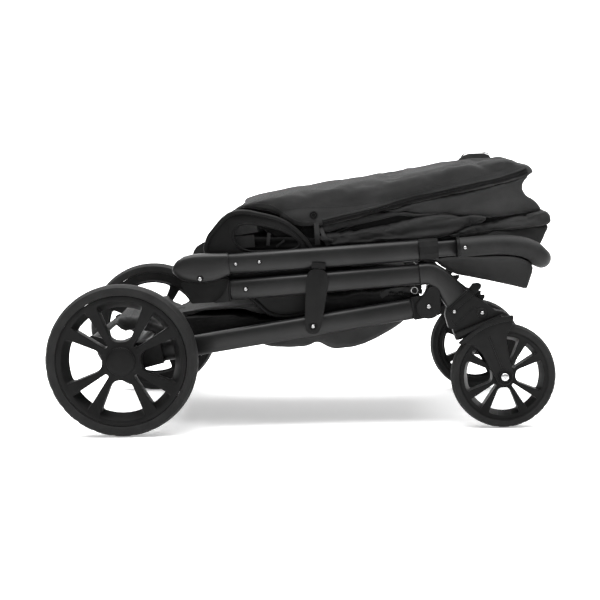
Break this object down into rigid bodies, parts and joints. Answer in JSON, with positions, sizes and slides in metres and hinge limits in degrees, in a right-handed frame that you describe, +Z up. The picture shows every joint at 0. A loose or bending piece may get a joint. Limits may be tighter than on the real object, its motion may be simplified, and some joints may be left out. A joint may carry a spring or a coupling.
{
  "type": "pet stroller",
  "caption": "Folded four-wheel pet stroller: handle hinged over a front frame with swivel casters, large rear wheels, foot brake, under-basket, collapsed cloth cabin and hood.",
  "frame": {"origin": "centre of the footprint on the ground, with the stroller folded and standing on its wheels", "axes": "+X towards the front casters, +Y to the left of someone pushing it, +Z up"},
  "size_m": [0.9726, 0.6246, 0.5268],
  "materials": {
    "anodised_tube": "satin black powder coat",
    "moulded_plastic": "fine-grained black nylon",
    "gloss_plastic": "smooth black plastic",
    "tyre_rubber": "matt black rubber",
    "grip_foam": "matt black foam sleeve",
    "bright_steel": "bright steel",
    "black_cloth": "woven black polyester",
    "black_mesh": "black polyester mesh",
    "webbing": "woven black webbing"
  },
  "bodies": {
    "base_frame": {"base_tube_left": "anodised_tube", "base_tube_right": "anodised_tube", "axle_bracket_left": "moulded_plastic", "axle_bracket_right": "moulded_plastic", "base_end_left": "moulded_plastic", "base_end_right": "moulded_plastic", "rear_axle": "anodised_tube", "base_cross_tube": "anodised_tube", "basket": "black_mesh"},
    "brake": {"brake_bar": "moulded_plastic"},
    "front_frame": {"front_tube_left": "anodised_tube", "front_tube_right": "anodised_tube", "elbow_left": "moulded_plastic", "elbow_right": "moulded_plastic", "knuckle_housing_left": "moulded_plastic", "knuckle_housing_right": "moulded_plastic", "caster_housing_left": "moulded_plastic", "caster_housing_right": "moulded_plastic", "side_plate_left": "gloss_plastic", "side_plate_right": "gloss_plastic", "front_cross_tube": "anodised_tube", "cabin_body": "black_cloth", "cabin_tub": "black_cloth", "canopy_hood": "black_cloth", "canopy_brim": "black_cloth"},
    "handle": {"knuckle_cap_left": "moulded_plastic", "knuckle_cap_right": "moulded_plastic", "handle_tube_left": "anodised_tube", "handle_tube_right": "anodised_tube", "collar_left": "moulded_plastic", "collar_right": "moulded_plastic", "latch_keeper": "moulded_plastic"},
    "grip": {"grip_bar": "grip_foam", "inner_tube_left": "anodised_tube", "inner_tube_right": "anodised_tube"},
    "fold_button": {"fold_button": "gloss_plastic"},
    "canopy_bow": {"canopy_bow": "moulded_plastic", "canopy_tab": "webbing"},
    "storage_latch": {"storage_latch": "moulded_plastic"},
    "rear_wheel_left": {"rear_rim_left": "moulded_plastic", "rear_tyre_left": "tyre_rubber", "rear_hub_cap_left": "gloss_plastic"},
    "caster_left": {"fork_left": "moulded_plastic", "front_axle_left": "bright_steel"},
    "front_wheel_left": {"front_rim_left": "moulded_plastic", "front_tyre_left": "tyre_rubber"},
    "height_button_left": {"height_button_left": "gloss_plastic"},
    "swivel_lock_left": {"swivel_lock_left": "gloss_plastic"},
    "rear_wheel_right": {"rear_rim_right": "moulded_plastic", "rear_tyre_right": "tyre_rubber", "rear_hub_cap_right": "gloss_plastic"},
    "caster_right": {"fork_right": "moulded_plastic", "front_axle_right": "bright_steel"},
    "front_wheel_right": {"front_rim_right": "moulded_plastic", "front_tyre_right": "tyre_rubber"},
    "height_button_right": {"height_button_right": "gloss_plastic"},
    "swivel_lock_right": {"swivel_lock_right": "gloss_plastic"}
  },
  "joints": [
    {"name": "handle_unfold", "type": "hinge", "parent": "front_frame", "child": "handle", "pos_m": [-0.19268, 0, 0.29454], "axis": [0, -1, 0], "range_deg": [0, 140], "deforming": ["canopy_brim"]},
    {"name": "front_fold", "type": "hinge", "parent": "base_frame", "child": "front_frame", "pos_m": [0.24252, 0, 0.23604], "axis": [0, 1, 0], "range_deg": [0, 26]},
    {"name": "handle_extend", "type": "slide", "parent": "handle", "child": "grip", "axis": [0.9982, 0, 0.0593], "range_m": [0, 0.1]},
    {"name": "fold_button_press", "type": "slide", "parent": "grip", "child": "fold_button", "axis": [-1, 0, 0], "range_m": [0, 0.003], "stiffness_N_per_m": 800},
    {"name": "brake_press", "type": "hinge", "parent": "base_frame", "child": "brake", "pos_m": [-0.34125, 0, 0.145], "axis": [0, -1, 0], "range_deg": [0, 20]},
    {"name": "canopy_open", "type": "hinge", "parent": "front_frame", "child": "canopy_bow", "pos_m": [0.00882, 0, 0.35184], "axis": [0, -1, 0], "range_deg": [0, 85]},
    {"name": "latch_release", "type": "hinge", "parent": "base_frame", "child": "storage_latch", "pos_m": [0.02149, -0.254, 0.20157], "axis": [0, 1, 0], "range_deg": [0, 80]},
    {"name": "rear_wheel_left_spin", "type": "hinge", "parent": "base_frame", "child": "rear_wheel_left", "pos_m": [-0.34125, 0.286, 0.145], "axis": [0, 1, 0], "continuous": true},
    {"name": "caster_left_swivel", "type": "hinge", "parent": "front_frame", "child": "caster_left", "pos_m": [0.36851, 0.242, 0.09437], "axis": [-0.3681, 0, 0.9298], "continuous": true},
    {"name": "front_wheel_left_spin", "type": "hinge", "parent": "caster_left", "child": "front_wheel_left", "pos_m": [0.38525, 0.242, 0.101], "axis": [0, 1, 0], "continuous": true},
    {"name": "height_button_left_press", "type": "slide", "parent": "handle", "child": "height_button_left", "axis": [0, 1, 0], "range_m": [0, 0.0015], "stiffness_N_per_m": 800},
    {"name": "swivel_lock_left_flip", "type": "hinge", "parent": "front_frame", "child": "swivel_lock_left", "pos_m": [0.33262, 0.242, 0.26924], "axis": [0, 1, 0], "range_deg": [0, 20]},
    {"name": "rear_wheel_right_spin", "type": "hinge", "parent": "base_frame", "child": "rear_wheel_right", "pos_m": [-0.34125, -0.286, 0.145], "axis": [0, 1, 0], "continuous": true},
    {"name": "caster_right_swivel", "type": "hinge", "parent": "front_frame", "child": "caster_right", "pos_m": [0.36851, -0.242, 0.09437], "axis": [-0.3681, 0, 0.9298], "continuous": true},
    {"name": "front_wheel_right_spin", "type": "hinge", "parent": "caster_right", "child": "front_wheel_right", "pos_m": [0.38525, -0.242, 0.101], "axis": [0, 1, 0], "continuous": true},
    {"name": "height_button_right_press", "type": "slide", "parent": "handle", "child": "height_button_right", "axis": [0, -1, 0], "range_m": [0, 0.0015], "stiffness_N_per_m": 800},
    {"name": "swivel_lock_right_flip", "type": "hinge", "parent": "front_frame", "child": "swivel_lock_right", "pos_m": [0.33262, -0.242, 0.26924], "axis": [0, 1, 0], "range_deg": [0, 20]}
  ],
  "couplings": [
    {"joint": "front_fold", "follows": "handle_unfold", "ratio": 0.1857}
  ]
}
